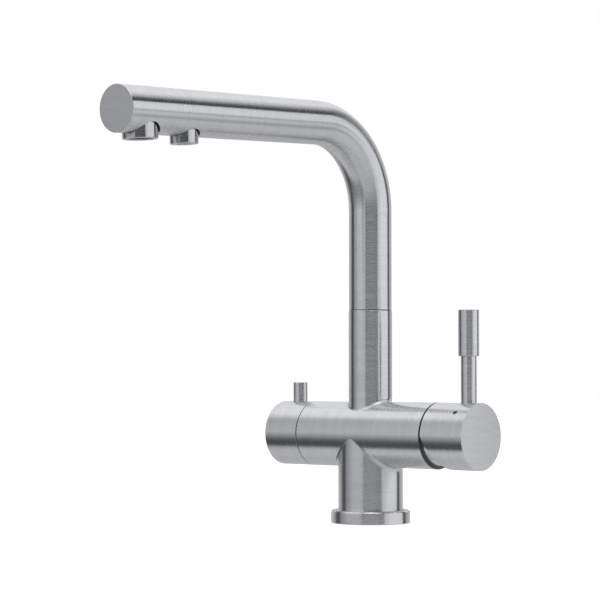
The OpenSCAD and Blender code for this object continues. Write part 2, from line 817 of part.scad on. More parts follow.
module spigot_o_rings() color("dimgray") for (rise = ring_rises)
    translate([0, 0, spigot_z + rise]) cord_ring(swivel_bore_r - cord_r - film, cord_r);

module glide_rings() color("white") for (rise = glide_rises) difference() {
    ring(swivel_bore_r - film, spigot_r - glide_depth + film, spigot_z + rise,
        spigot_z + rise + glide_h);
    translate([0, -swivel_bore_r, spigot_z + rise + glide_h / 2])
        cube([glide_split, swivel_bore_r, glide_h + over], center = true);
}

module glide_washer() color("dimgray") ring(column_r - washer_inset - edge_break,
    column_r - washer_inset - edge_break - washer_w, seam_z + film, spout_z - film);

module filter_tube() color("aliceblue") difference() {
    spout_run(filter_tube_r, tube_foot_z + film, block_end_t - tube_socket_l);
    spout_run(filter_tube_in_r, tube_foot_z - over, block_end_t - tube_socket_l - over);
}

module filter_ferrule() color("goldenrod") difference() {
    union() {
        rod(socket_r - seat_gap, ferrule_z, swivel_floor_z + film);
        rod(ferrule_flange_r, swivel_floor_z + film,
            swivel_floor_z + film + ferrule_flange_h);
        rod(socket_r - seat_gap, swivel_floor_z, swivel_floor_z + ferrule_flange_h + ferrule_grip);
    }
    rod(filter_tube_in_r, ferrule_z - over, tube_foot_z + over);
    rod(filter_tube_r + film, tube_foot_z,
        swivel_floor_z + ferrule_flange_h + ferrule_grip + over);
    ring(socket_r + over, socket_r - 2 * (ferrule_cord_r + film),
        ferrule_z + ferrule_ring_rise - ferrule_cord_r - seat_gap,
        ferrule_z + ferrule_ring_rise + ferrule_cord_r + seat_gap);
}

module ferrule_o_ring() color("dimgray") translate([0, 0, ferrule_z + ferrule_ring_rise])
    cord_ring(socket_r - ferrule_cord_r - film, ferrule_cord_r);

// Outlets, drawn downwards from the arm's centre line

module outlet_block() color("whitesmoke") difference() {
    on_arm(block_start_t) rotate([-90, 0, 0]) rod(block_r, 0, block_end_t - block_start_t);
    on_arm(aerator_t) {
        rod(aerator_r + spot_margin, -spout_r, -aerator_seat);
        rod(aerator_thread_r + film, -spout_r, aerator_room - aerator_top);
        rod(block_way_r, 0, mixed_way_rise);
    }
    on_arm(nozzle_t) {
        rod(nozzle_r + spot_margin, -spout_r, -nozzle_seat);
        rod(nozzle_thread_r + film, -spout_r, nozzle_room - nozzle_top);
    }
    on_arm(aerator_t) translate([0, 0, mixed_way_rise]) rotate([-90, 0, 0])
        rod(gallery_r, -gallery_r, block_end_t - aerator_t + over);
    on_arm(block_end_t - tube_socket_l - seat_gap) rotate([-90, 0, 0])
        rod(filter_tube_r + film, 0, tube_socket_l + over);
    on_arm(nozzle_t) rotate([-90, 0, 0]) rod(filter_tube_in_r, 0, block_past);
    on_arm(nozzle_t) rod(filter_riser_r, -nozzle_top, 0);
}

// A threaded sleeve with its visible collar below
module outlet_sleeve(collar, thread, bore, lip, bottom, seat, top) difference() {
    union() {
        turned_bar(collar, bottom, seat - film, edge_break);
        rod(thread, seat - edge_break - film, top);
    }
    rod(bore, bottom + aerator_lip_h, top + over);
    rod(bore - lip, bottom - over, top);
}

aerator_bottom = -spout_r - aerator_drop;
nozzle_bottom = -spout_r - nozzle_drop;

module aerator_housing() color("silver") on_arm(aerator_t) outlet_sleeve(aerator_r,
    aerator_thread_r, aerator_bore_r, aerator_lip, aerator_bottom, -aerator_seat, -aerator_top);

module aerator_insert() color("gainsboro") on_arm(aerator_t) difference() {
    rod(aerator_bore_r - seat_gap, aerator_bottom + aerator_lip_h + film, -aerator_top);
    rod(aerator_bore_r - seat_gap - insert_wall, aerator_bottom + aerator_lip_h + cell_h, over);
    for (i = [-cell_rings : cell_rings], j = [-cell_rings : cell_rings])
        if (abs(i + j) <= cell_rings)
            translate([(i + j / 2) * cell_pitch, j * cell_pitch * sin(60), aerator_bottom])
                rotate([0, 0, 30]) cylinder(r = cell_r, h = aerator_lip_h + cell_h + over, $fn = 6);
}

module aerator_washer() color("dimgray") on_arm(aerator_t)
    ring(aerator_thread_r - seat_gap, washer_in_r, film - aerator_top,
        film - aerator_top + washer_h);

module filter_nozzle() color("silver") on_arm(nozzle_t) outlet_sleeve(nozzle_r,
    nozzle_thread_r, nozzle_bore_r, nozzle_lip, nozzle_bottom, -nozzle_seat, -nozzle_top);

module nozzle_insert() color("gainsboro") on_arm(nozzle_t) difference() {
    rod(nozzle_bore_r - seat_gap, nozzle_bottom + aerator_lip_h + film,
        nozzle_bottom + aerator_lip_h + insert_h);
    rod(jet_r, nozzle_bottom, nozzle_bottom + aerator_lip_h + insert_h + over);
    for (i = [1 : jet_count]) rotate([0, 0, i * 360 / jet_count]) translate([jet_ring_r, 0, 0])
        rod(jet_r, nozzle_bottom, nozzle_bottom + aerator_lip_h + insert_h + over);
}

module nozzle_washer() color("dimgray") on_arm(nozzle_t)
    ring(nozzle_thread_r - seat_gap, washer_in_r, film - nozzle_top,
        film - nozzle_top + washer_h);

base_flange();
base_gasket();
body_shell();
inlet_manifold();
manifold_circlip();
manifold_o_rings();
cartridge_base();
cartridge_seals();
cartridge_housing();
cartridge_nut();
fixed_disc();
trim_ring();
filter_valve_body();
filter_seat_seal();
filter_fixed_disc();
swivel_stop_screw();
turret();
pivot_pin();
moving_disc();
disc_carrier();
lever_stem();
mixer_knob();
knob_grub_screw();
indicator_red();
indicator_blue();
lever_rod();
lever_grip();
filter_spindle();
filter_moving_disc();
spindle_o_rings();
spindle_clip();
filter_knob();
filter_knob_screw();
filter_pin();
spout_tube();
spout_end_cap();
swivel_spigot();
spigot_o_rings();
glide_rings();
glide_washer();
filter_tube();
filter_ferrule();
ferrule_o_ring();
outlet_block();
aerator_housing();
aerator_insert();
aerator_washer();
filter_nozzle();
nozzle_insert();
nozzle_washer();
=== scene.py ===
import math
import bmesh
import bpy
from mathutils import Matrix, Vector


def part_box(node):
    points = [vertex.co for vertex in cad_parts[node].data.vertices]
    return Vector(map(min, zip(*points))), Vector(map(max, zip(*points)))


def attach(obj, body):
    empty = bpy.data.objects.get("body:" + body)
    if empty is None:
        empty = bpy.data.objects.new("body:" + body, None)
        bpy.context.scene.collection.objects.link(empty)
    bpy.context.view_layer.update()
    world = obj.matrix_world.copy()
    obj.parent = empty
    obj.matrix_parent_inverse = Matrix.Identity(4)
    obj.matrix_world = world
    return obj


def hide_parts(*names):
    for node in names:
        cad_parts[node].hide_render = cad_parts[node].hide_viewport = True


# Three way filtered water tap. The sections follow the tap as it is put together, from the worktop up.
# Sizes are in millimetres, turned into metres by mm.

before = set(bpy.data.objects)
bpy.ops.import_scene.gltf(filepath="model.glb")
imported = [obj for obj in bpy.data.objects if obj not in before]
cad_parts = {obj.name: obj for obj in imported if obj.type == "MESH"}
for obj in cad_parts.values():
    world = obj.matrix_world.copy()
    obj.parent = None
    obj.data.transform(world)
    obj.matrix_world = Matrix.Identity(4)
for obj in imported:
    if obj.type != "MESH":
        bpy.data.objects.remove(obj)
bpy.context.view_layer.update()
bpy.ops.object.select_all(action="DESELECT")

# Base flange
# A ring turned from stainless steel bar that stands on the worktop and takes the body in its recess.
# Its outside is brushed with a fine belt while it turns, so the lines run round it.

mm = 0.001
axis_z = Vector((0, 0, 1))
axis_x = Vector((1, 0, 0))
round_steps = 160
merge_gap = 0.001
sharp = math.radians(30)
flat_face = 0.8


def linear(code):
    """An sRGB hex colour as linear red, green, blue and alpha."""
    parts = [int(code[i:i + 2], 16) / 255 for i in (0, 2, 4)]
    return [p / 12.92 if p <= 0.04045 else ((p + 0.055) / 1.055) ** 2.4 for p in parts] + [1]


def add(tree, kind, settings=None, links=None):
    """Adds a node. Settings are its properties or its sockets' values, and links feed its sockets."""
    made = tree.nodes.new(kind)
    for name, value in (settings or {}).items():
        if isinstance(name, str) and hasattr(made, name):
            setattr(made, name, value)
        else:
            made.inputs[name].default_value = value
    for name, source in (links or {}).items():
        tree.links.new(source, made.inputs[name])
    return made


def start_finish(name):
    """An empty material, with its node tree and its Principled shader."""
    made = bpy.data.materials.new(name)
    made.use_nodes = True
    return made, made.node_tree, made.node_tree.nodes["Principled BSDF"]


def brushed_steel(name, light, dark, roughness, line_gap, stroke):
    """Stainless steel brushed with a belt: lines line_gap apart and stroke long, along the grain map's u.

    The tangent follows the lines, so a light is drawn out across them, as on a real brushed tube. A broad
    noise under the fine one gives the bundles of lines that a worn belt leaves.
    """
    bundle_long, bundle_wide, uneven = 4 * stroke, 7 * line_gap, 0.03
    made, tree, shader = start_finish(name)
    shader.inputs["Metallic"].default_value = 1
    shader.inputs["Anisotropic"].default_value = 0.98
    shader.inputs["Anisotropic Rotation"].default_value = 0.25
    grain = add(tree, "ShaderNodeUVMap", {"uv_map": "grain"}).outputs["UV"]
    along = add(tree, "ShaderNodeTangent", {"direction_type": "UV_MAP", "uv_map": "grain"})
    tree.links.new(along.outputs["Tangent"], shader.inputs["Tangent"])
    lines = add(tree, "ShaderNodeMapping", {"Scale": (1 / (stroke * mm), 1 / (line_gap * mm), 1)},
                {"Vector": grain})
    fine = add(tree, "ShaderNodeTexNoise", {"noise_dimensions": "2D", "Scale": 1, "Detail": 3,
                                            "Roughness": 0.6}, {"Vector": lines.outputs["Vector"]})
    bands = add(tree, "ShaderNodeMapping",
                {"Scale": (1 / (bundle_long * mm), 1 / (bundle_wide * mm), 1)}, {"Vector": grain})
    broad = add(tree, "ShaderNodeTexNoise", {"noise_dimensions": "2D", "Scale": 1, "Detail": 2},
                {"Vector": bands.outputs["Vector"]})
    both = add(tree, "ShaderNodeMath", {"operation": "ADD"},
               {0: fine.outputs["Fac"], 1: broad.outputs["Fac"]})
    tone = add(tree, "ShaderNodeValToRGB", links={"Fac": add(
        tree, "ShaderNodeMapRange", {"From Min": 0.75, "From Max": 1.25},
        {"Value": both.outputs["Value"]}).outputs["Result"]})
    tone.color_ramp.elements[0].color = linear(dark)
    tone.color_ramp.elements[1].color = linear(light)
    tree.links.new(tone.outputs["Color"], shader.inputs["Base Color"])
    rough = add(tree, "ShaderNodeMapRange", {"From Min": 0.3, "From Max": 0.7,
                                             "To Min": roughness - uneven, "To Max": roughness + uneven},
                {"Value": fine.outputs["Fac"]})
    tree.links.new(rough.outputs["Result"], shader.inputs["Roughness"])
    relief = add(tree, "ShaderNodeBump", {"Strength": 0.05, "Distance": 0.01 * mm},
                 {"Height": fine.outputs["Fac"]})
    tree.links.new(relief.outputs["Normal"], shader.inputs["Normal"])
    return made


def edit(piece, kind, test):
    """Opens a piece in edit mode, with only the faces or edges that pass the test selected."""
    bpy.ops.object.select_all(action="DESELECT")
    piece.select_set(True)
    bpy.context.view_layer.objects.active = piece
    bpy.ops.object.mode_set(mode="EDIT")
    bpy.ops.mesh.select_mode(type=kind)
    bpy.ops.mesh.select_all(action="DESELECT")
    shape = bmesh.from_edit_mesh(piece.data)
    for part in (shape.faces if kind == "FACE" else shape.edges):
        if test(part):
            part.select_set(True)
    bmesh.update_edit_mesh(piece.data)


def leave():
    """Goes back to object mode, with nothing selected."""
    bpy.ops.object.mode_set(mode="OBJECT")
    bpy.ops.object.select_all(action="DESELECT")


def turned(name, outline, steps=round_steps):
    """A turned piece round Z: a vertex is extruded along the outline of (radius, height) and then spun."""
    bpy.ops.mesh.primitive_plane_add(size=mm)
    piece = bpy.context.object
    piece.name = name
    bpy.ops.object.mode_set(mode="EDIT")
    bpy.ops.mesh.select_mode(type="VERT")
    bpy.ops.mesh.select_all(action="SELECT")
    bpy.ops.mesh.merge(type="CENTER")
    places = [Vector((r * mm, 0, z * mm)) for r, z in outline]
    bpy.ops.transform.translate(value=places[0])
    for before, after in zip(places, places[1:]):
        bpy.ops.mesh.extrude_region_move(TRANSFORM_OT_translate={"value": after - before})
    bpy.ops.mesh.select_all(action="SELECT")
    bpy.ops.mesh.spin(steps=steps, angle=2 * math.pi, center=(0, 0, 0), axis=axis_z)
    bpy.ops.mesh.select_all(action="SELECT")
    bpy.ops.mesh.remove_doubles(threshold=merge_gap * mm)
    bpy.ops.mesh.normals_make_consistent(inside=False)
    leave()
    return piece


def soften(piece, width, test, segments=3):
    """Rounds the sharp edges that pass the test, as a light pass of the belt does."""
    edit(piece, "EDGE", lambda e: len(e.link_faces) == 2 and e.calc_face_angle(0) > sharp and test(e))
    bpy.ops.mesh.bevel(offset=width * mm, segments=segments, affect="EDGES", clamp_overlap=True)
    leave()


def middle(edge):
    """The middle of an edge, in millimetres."""
    return sum((v.co for v in edge.verts), Vector()) / len(edge.verts) / mm


def lay_grain(piece, place):
    """Writes the grain map, in metres: u runs with the brushing, round an axis, and v along that axis.

    For a point, and the middle of the face it is on, place gives how far along the axis it is, the axis's
    own point there, the axis's direction, and the direction across it that u is counted from. A face
    square to the axis is brushed straight across instead.
    """
    while piece.data.uv_layers:
        piece.data.uv_layers.remove(piece.data.uv_layers[0])
    layer = piece.data.uv_layers.new(name="grain")
    points = piece.data.vertices
    for face in piece.data.polygons:
        centre = face.center
        at, foot, way, side = place(centre, centre)
        up = way.cross(side)
        flat = abs(face.normal.dot(way)) > flat_face
        spoke = centre - foot
        middle_angle = math.atan2(spoke.dot(up), spoke.dot(side))
        for loop in face.loop_indices:
            co = points[piece.data.loops[loop].vertex_index].co
            at, foot, way, side = place(co, centre)
            up = way.cross(side)
            spoke = co - foot
            if flat:
                layer.data[loop].uv = (spoke.dot(side), spoke.dot(up))
                continue
            turn = math.atan2(spoke.dot(up), spoke.dot(side)) - middle_angle
            turn = (turn + math.pi) % (2 * math.pi) - math.pi
            layer.data[loop].uv = ((middle_angle + turn) * spoke.length, at)


def round_upright(x=0):
    """Grain that runs round an upright axis, which stands at x along the barrel."""
    def place(co, centre):
        return co.z, Vector((x * mm, 0, co.z)), axis_z, axis_x
    return place


def dress(piece, material, body, replaced, grain):
    """Gives a finished piece its grain map, finish and shading, and puts it in place of its CAD nodes."""
    lay_grain(piece, grain)
    piece.data.materials.clear()
    piece.data.materials.append(material)
    bpy.ops.object.select_all(action="DESELECT")
    piece.select_set(True)
    bpy.context.view_layer.objects.active = piece
    bpy.ops.object.shade_smooth_by_angle(angle=sharp)
    # A flat face keeps one shade right up to its rounded edges
    even = piece.modifiers.new("even", "WEIGHTED_NORMAL")
    even.keep_sharp = True
    bpy.ops.object.modifier_apply(modifier=even.name)
    bpy.ops.object.select_all(action="DESELECT")
    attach(piece, body)
    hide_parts(*replaced)


flange_r = 25.85
flange_h = 8.4
lip_h = 2.5
neck_room_r = 21.3
hose_room_r = 17.5
groove_out_r = 24.93
groove_in_r = 22.13
groove_h = 1.75
edge_round = 0.45
rim_round = 1.5

# Stainless steel, brushed with about 180 grit. It gives a cool grey metal with long soft lights. The lines
# are 0.1 mm apart on the real tap, and are drawn 0.5 mm apart so that they show.
satin_steel = brushed_steel("brushed_stainless_steel", "DADCDF", "D2D4D7", roughness=0.255, line_gap=0.5,
                            stroke=9)

flange = turned("base_flange_ring", [
    (hose_room_r, 0), (groove_in_r, 0), (groove_in_r, groove_h), (groove_out_r, groove_h),
    (groove_out_r, 0), (flange_r, 0), (flange_r, flange_h), (neck_room_r, flange_h),
    (neck_room_r, lip_h), (hose_room_r, lip_h), (hose_room_r, 0)])
soften(flange, edge_round, lambda e: middle(e).xy.length > flange_r - edge_round and middle(e).z < lip_h)
soften(flange, rim_round, lambda e: middle(e).xy.length > flange_r - edge_round and middle(e).z > lip_h,
       segments=6)
dress(flange, satin_steel, "body", ["base_flange"], round_upright())

# Base gasket
# A flat ring of black EPDM rubber, moulded, in the groove of the flange's underside.
# It is matt, with a very fine bloom from the mould.


def moulded(name, light, dark, roughness, grain_size, bump, ior):
    """A moulded plastic or rubber: two close tones in soft patches, and a fine grain in its skin."""
    patch, uneven = 6, 0.06
    made, tree, shader = start_finish(name)
    shader.inputs["IOR"].default_value = ior
    place = add(tree, "ShaderNodeTexCoord").outputs["Object"]
    skin = add(tree, "ShaderNodeTexNoise", {"Scale": 1 / (grain_size * mm), "Detail": 3},
               {"Vector": place})
    cloud = add(tree, "ShaderNodeTexNoise", {"Scale": 1 / (patch * mm), "Detail": 2}, {"Vector": place})
    tone = add(tree, "ShaderNodeValToRGB", links={"Fac": cloud.outputs["Fac"]})
    tone.color_ramp.elements[0].position = 0.3
    tone.color_ramp.elements[1].position = 0.7
    tone.color_ramp.elements[0].color = linear(dark)
    tone.color_ramp.elements[1].color = linear(light)
    tree.links.new(tone.outputs["Color"], shader.inputs["Base Color"])
    rough = add(tree, "ShaderNodeMapRange", {"To Min": roughness - uneven, "To Max": roughness + uneven},
                {"Value": skin.outputs["Fac"]})
    tree.links.new(rough.outputs["Result"], shader.inputs["Roughness"])
    relief = add(tree, "ShaderNodeBump", {"Strength": bump, "Distance": 0.05 * mm},
                 {"Height": skin.outputs["Fac"]})
    tree.links.new(relief.outputs["Normal"], shader.inputs["Normal"])
    return made


def finish_nodes(material, *names):
    """Gives CAD nodes whose shape is right their finish."""
    for name in names:
        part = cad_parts[name]
        if not part.material_slots:
            part.data.materials.append(material)
        for place in part.material_slots:
            place.link = "OBJECT"
            place.material = material


# EPDM rubber, moulded: near black and matt
black_rubber = moulded("moulded_epdm_rubber", "2B2B2C", "1F1F20", roughness=0.62, grain_size=0.4, bump=0.3,
                       ior=1.52)
finish_nodes(black_rubber, "base_gasket")

# Body
# The neck, the barrel and the column are stainless tube and bar, welded into one body. The welds are
# ground to a small even radius, and then each length is brushed round its own axis.

body_low, body_high = (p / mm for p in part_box("body_shell"))
barrel_r = body_high.y
barrel_z = 57.5
neck_inset = 0.15
neck_r = barrel_r - neck_inset
column_r = 14.25
neck_fillet = 3.6
column_fillet = 2.8
hole_lines = 96
side_lines = 28
length_steps = 26
fillet_steps = 6
body_edge = 0.35
edge_steps = 3
body_merge_gap = 0.002
skin_gap = 0.05
weld_reach = 3
# The blind bores in each end, from the outside in: radius and how deep it ends
body_pockets = {"lever": [(18.6, 8.5), (17.6, 34)], "filter": [(14, 9.6), (10.4, 20), (9.8, 28.3)],
                "column": [(11, 48)], "neck": [(15.5, 21.2)]}


def fillet_run(pipe_r, ball, up):
    """Round the joint of an upright pipe and the barrel: the middle of a ball that touches both."""
    run = []
    for i in range(2 * hole_lines):
        angle = -math.pi / 2 + math.pi * i / hole_lines
        out = pipe_r + ball
        rise = math.sqrt(max((barrel_r + ball) ** 2 - (out * math.sin(angle)) ** 2, 0))
        centre = Vector((out * math.cos(angle), out * math.sin(angle), barrel_z + up * rise))
        to_pipe = -Vector((math.cos(angle), math.sin(angle), 0))
        to_barrel = -Vector((0, centre.y, centre.z - barrel_z)).normalized()
        run.append((centre, to_pipe, to_barrel))
    return run


def part_way(a, b, share):
    """The direction that lies share of the way from a to b, on the arc between them."""
    spread = a.angle(b, 0)
    if spread < 1e-4:
        return a
    return (a * math.sin((1 - share) * spread) + b * math.sin(share * spread)) / math.sin(spread)


def body_of_tap():
    """The outer skin and its blind pockets, as one closed mesh of points and faces in millimetres."""
    points, faces = [], []

    def put(x, y, z):
        points.append((x, y, z))
        return len(points) - 1

    def strip(a, b):
        """Faces between two closed rows of points."""
        for i in range(len(a)):
            j = (i + 1) % len(a)
            corners = [a[i], a[j], b[j], b[i]]
            kept = [c for n, c in enumerate(corners) if c != corners[n - 1]]
            if len(kept) > 2:
                faces.append(kept)

    def weld(pipe_r, ball, up):
        """The fillet between a pipe and the barrel. Gives its row on the pipe and that on the barrel."""
        run = fillet_run(pipe_r, ball, up)
        rows = [[put(*(centre + ball * part_way(to_pipe, to_barrel, k / fillet_steps)))
                 for centre, to_pipe, to_barrel in run] for k in range(fillet_steps + 1)]
        for a, b in zip(rows, rows[1:]):
            strip(a, b)
        return rows[0], rows[-1]

    def run_out(start, axis, pipe_r, end, way, pockets):
        """From a weld's row straight along a pipe to its end, over its rim and down its pockets.

        The axis is 0 for the barrel and 2 for an upright pipe, and way is 1 or -1, the side of its end.
        """
        one, two = (axis + 1) % 3, (axis + 2) % 3
        foot = barrel_z if axis == 0 else 0
        row = start
        for k in range(1, length_steps + 1):
            new = []
            for i in start:
                at = list(points[i])
                at[axis] += (end - way * body_edge - at[axis]) * (k / length_steps)
                new.append(put(*at))
            strip(row, new)
            row = new
        turns = [math.pi / 2 * (k + 1) / edge_steps for k in range(edge_steps)]
        spots = [(pipe_r - body_edge * (1 - math.cos(t)), end - way * body_edge * (1 - math.sin(t)))
                 for t in turns]
        for bore, deep in pockets:
            spots += [(bore, spots[-1][1]), (bore, end - way * deep)]
        for r, far in spots:
            new = []
            for i in start:
                at = list(points[i])
                at[axis] = far
                across, over = at[one], at[two] - foot
                long = math.hypot(across, over)
                at[one], at[two] = across / long * r, foot + over / long * r
                new.append(put(*at))
            strip(row, new)
            row = new
        faces.append(row)

    def angle_of(i):
        """How far round the barrel a point is, from the top."""
        x, y, z = points[i]
        return math.atan2(y, z - barrel_z)

    def between(a, b):
        """Points over the barrel's middle, from one angle to another, where no pipe meets it."""
        made = []
        for k in range(1, side_lines):
            t = a + (b - a) * k / side_lines
            i = put(0, barrel_r * math.sin(t), barrel_z + barrel_r * math.cos(t))
            made.append((i, i))
        return made

    neck_top, low_edge = weld(neck_r, neck_fillet, -1)
    column_foot, high_edge = weld(column_r, column_fillet, 1)
    run_out(neck_top, 2, neck_r, body_low.z, -1, body_pockets["neck"])
    run_out(column_foot, 2, column_r, body_high.z, 1, body_pockets["column"])

    # Once round the barrel: each pair is where a line to the lever's end and one to the filter's end begin
    under = [(low_edge[i], low_edge[-i]) for i in range(hole_lines + 1)]
    over = [(high_edge[i], high_edge[-i]) for i in range(hole_lines + 1)]
    back = between(angle_of(under[-1][0]), angle_of(over[-1][0]))
    front = between(angle_of(over[0][0]), angle_of(under[0][0]))
    pairs = under + back + over[::-1] + front
    run_out([lever for lever, _ in pairs], 0, barrel_r, body_high.x, 1, body_pockets["lever"])
    run_out([filtered for _, filtered in pairs], 0, barrel_r, body_low.x, -1, body_pockets["filter"])
    return points, faces


def grain_of_body(co, centre):
    """Round the barrel on the barrel, and round the upright axis on the neck, the column and the welds."""
    off_barrel = math.hypot(centre.y, centre.z - barrel_z * mm) / mm
    off_pipe = math.hypot(centre.x, centre.y) / mm
    pipe_r = column_r if centre.z > barrel_z * mm else neck_r
    on_barrel = abs(off_barrel - barrel_r) < skin_gap and off_pipe > pipe_r
    if on_barrel or abs(centre.x) / mm > pipe_r + weld_reach:
        return co.x, Vector((co.x, 0, barrel_z * mm)), axis_x, axis_z
    return co.z, Vector((0, 0, co.z)), axis_z, axis_x


def paint_seam_shade(piece, material, test):
    """Gives the faces whose middle passes the test a second, darker finish: painted shade for a seam."""
    piece.data.materials.append(material)
    for face in piece.data.polygons:
        if test(face.center / mm):
            face.material_index = 1


points, faces = body_of_tap()
skin = bpy.data.meshes.new("body_of_tap")
skin.from_pydata([Vector(p) * mm for p in points], [], faces)
body = bpy.data.objects.new("body_of_tap", skin)
bpy.context.scene.collection.objects.link(body)
edit(body, "FACE", lambda f: True)
bpy.ops.mesh.remove_doubles(threshold=body_merge_gap * mm)
bpy.ops.mesh.select_all(action="SELECT")
bpy.ops.mesh.normals_make_consistent(inside=False)
leave()
dress(body, satin_steel, "body", ["body_shell"], grain_of_body)
# Stainless steel on the barrel's end face and rim under the knob, painted a darker grey with a softer
# sheen:
#  painted shade that keeps the seam there dark
# The darker grey is painted shade for the seam between the barrel and the knob
seam_shade_steel = brushed_steel("steel_with_painted_seam_shade", "828488", "75777B", roughness=0.45, line_gap=0.5, stroke=9)
paint_seam_shade(body, seam_shade_steel, lambda c: c.x > body_high.x - body_edge)

# Inlet manifold, with its clip and seals
# The manifold is dezincification resistant brass, turned and drilled, and left as machined. A flat clip
# of spring steel holds it in the neck, and rubber rings seal its three ports.


def machined(name, light, dark, roughness, pitch, axis):
    """A metal left as machined: tool lines pitch apart across the axis, under patches of tarnish."""
    line_long, patch, uneven = 8, 9, 0.08
    made, tree, shader = start_finish(name)
    shader.inputs["Metallic"].default_value = 1
    place = add(tree, "ShaderNodeTexCoord").outputs["Object"]
    squeeze = [1 / (line_long * mm)] * 3
    squeeze["xyz".index(axis)] = 1 / (pitch * mm)
    lines = add(tree, "ShaderNodeMapping", {"Scale": squeeze}, {"Vector": place})
    tool = add(tree, "ShaderNodeTexNoise", {"Scale": 1, "Detail": 2}, {"Vector": lines.outputs["Vector"]})
    cloud = add(tree, "ShaderNodeTexNoise", {"Scale": 1 / (patch * mm), "Detail": 3}, {"Vector": place})
    tone = add(tree, "ShaderNodeValToRGB", links={"Fac": cloud.outputs["Fac"]})
    tone.color_ramp.elements[0].position = 0.35
    tone.color_ramp.elements[1].position = 0.65
    tone.color_ramp.elements[0].color = linear(dark)
    tone.color_ramp.elements[1].color = linear(light)
    tree.links.new(tone.outputs["Color"], shader.inputs["Base Color"])
    rough = add(tree, "ShaderNodeMapRange", {"To Min": roughness - uneven, "To Max": roughness + uneven},
                {"Value": tool.outputs["Fac"]})
    tree.links.new(rough.outputs["Result"], shader.inputs["Roughness"])
    relief = add(tree, "ShaderNodeBump", {"Strength": 0.4, "Distance": 0.02 * mm},
                 {"Height": tool.outputs["Fac"]})
    tree.links.new(relief.outputs["Normal"], shader.inputs["Normal"])
    return made


# Brass, turned: warm yellow with fine rings. Tool lines 0.1 mm apart are drawn 0.4 mm apart to show. The
# same brass is turned round the upright axis or round the barrel's axis.
turned_brass = machined("turned_brass", "D9B25F", "B98F45", roughness=0.3, pitch=0.4, axis="z")
barrel_brass = machined("turned_brass_across", "D9B25F", "B98F45", roughness=0.3, pitch=0.4, axis="x")
# Spring steel, blued by its heat treatment: a dark blue grey with a dull shine
spring_steel = machined("blued_spring_steel", "8A8D92", "6B6E75", roughness=0.32, pitch=0.5, axis="z")
finish_nodes(turned_brass, "inlet_manifold")
finish_nodes(spring_steel, "manifold_circlip")
finish_nodes(black_rubber, "manifold_o_rings")

# Ceramic cartridge
# The stack that mixes hot and cold: a moulded housing, base, turret and carrier round two ceramic discs.
# A brass ring nut holds it in the barrel, and the steel pin is what the lever tips on.

# Acetal, moulded: milky white with a low sheen
white_acetal = moulded("moulded_acetal", "E9E7DF", "DCD9CF", roughness=0.4, grain_size=0.5, bump=0.15,
                       ior=1.48)
# Alumina, lapped nearly mirror flat: a cream white with a clear gloss
lapped_alumina = moulded("lapped_alumina", "F1EEE6", "E6E2D8", roughness=0.22, grain_size=0.3, bump=0.05,
                         ior=1.76)
finish_nodes(white_acetal, "cartridge_base", "cartridge_housing", "turret", "disc_carrier")
finish_nodes(lapped_alumina, "fixed_disc", "moving_disc")
finish_nodes(black_rubber, "cartridge_seals")
finish_nodes(barrel_brass, "cartridge_nut")
finish_nodes(spring_steel, "pivot_pin")

# Trim ring
# A thin stainless ring, turned with a dome, held in the thread over the cartridge's nut. It closes the
# gap behind the mixing knob. The dome is part of a ball round the lever's pivot.

ring_low, ring_high = (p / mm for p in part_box("trim_ring"))
dome_r = ring_high.y
dome_reach = 9
dome_wall = 1.2
dome_lip_w = 1.7
dome_steps = 14
skirt_r = 18.5
seam_shade_reach = 0.1
pivot_x = ring_high.x - dome_reach


def lie_along(piece, way, origin):
    """Turns a piece made round Z so that its Z runs along way from the origin."""
    turn = axis_z.rotation_difference(way).to_matrix().to_4x4()
    piece.data.transform(Matrix.Translation(origin) @ turn)


def round_x(co, centre):
    """Grain that runs round the barrel's axis, and straight up and down on a flat face."""
    return co.x, Vector((co.x, 0, barrel_z * mm)), axis_x, axis_z


def ball_line(radius, start, end, steps):
    """Points (radius, height) along a ball's outline, from start to end, measured from its middle."""
    heights = [start + (end - start) * k / steps for k in range(steps + 1)]
    return [(math.sqrt(radius ** 2 - h ** 2), h) for h in heights]


dome_in_r = dome_r - dome_wall
back_h = body_high.x - pivot_x
dome_lip_r = math.sqrt(dome_r ** 2 - dome_reach ** 2) - dome_lip_w
skirt_h = ring_low.x - pivot_x
dome_ring = turned("domed_trim_ring", [
    (skirt_r - dome_wall, skirt_h), (skirt_r, skirt_h), (skirt_r, back_h),
    *ball_line(dome_r, back_h, dome_reach, dome_steps), (dome_lip_r, dome_reach),
    (dome_lip_r, dome_reach - dome_wall),
    *ball_line(dome_in_r, dome_reach - dome_wall, back_h, dome_steps),
    (skirt_r - dome_wall, back_h), (skirt_r - dome_wall, skirt_h)])
lie_along(dome_ring, axis_x, Vector((pivot_x, 0, barrel_z)) * mm)
dress(dome_ring, satin_steel, "body", ["trim_ring"], round_x)
# The dome is brushed where it lies inside the knob, which shows when the lever is lifted. The skirt behind
#  it, at the seam, is painted the darker grey: painted shade that keeps the seam dark
paint_seam_shade(dome_ring, seam_shade_steel, lambda c: c.x < pivot_x + seam_shade_reach)

# Filter valve
# A quarter turn valve screwed in the barrel's other end. Its body and spindle are turned brass, its two
# discs are ceramic, and rubber rings seal it. A steel clip keeps the spindle in.

finish_nodes(barrel_brass, "filter_valve_body", "filter_spindle")
finish_nodes(lapped_alumina, "filter_fixed_disc", "filter_moving_disc")
finish_nodes(black_rubber, "filter_seat_seal", "spindle_o_rings")
finish_nodes(spring_steel, "spindle_clip")

# Mixing knob
# Turned from stainless bar and bored out behind. Its rear edge is cut on a slant below, so that it
# tips without touching the barrel. The outside is brushed round, and the face straight across.

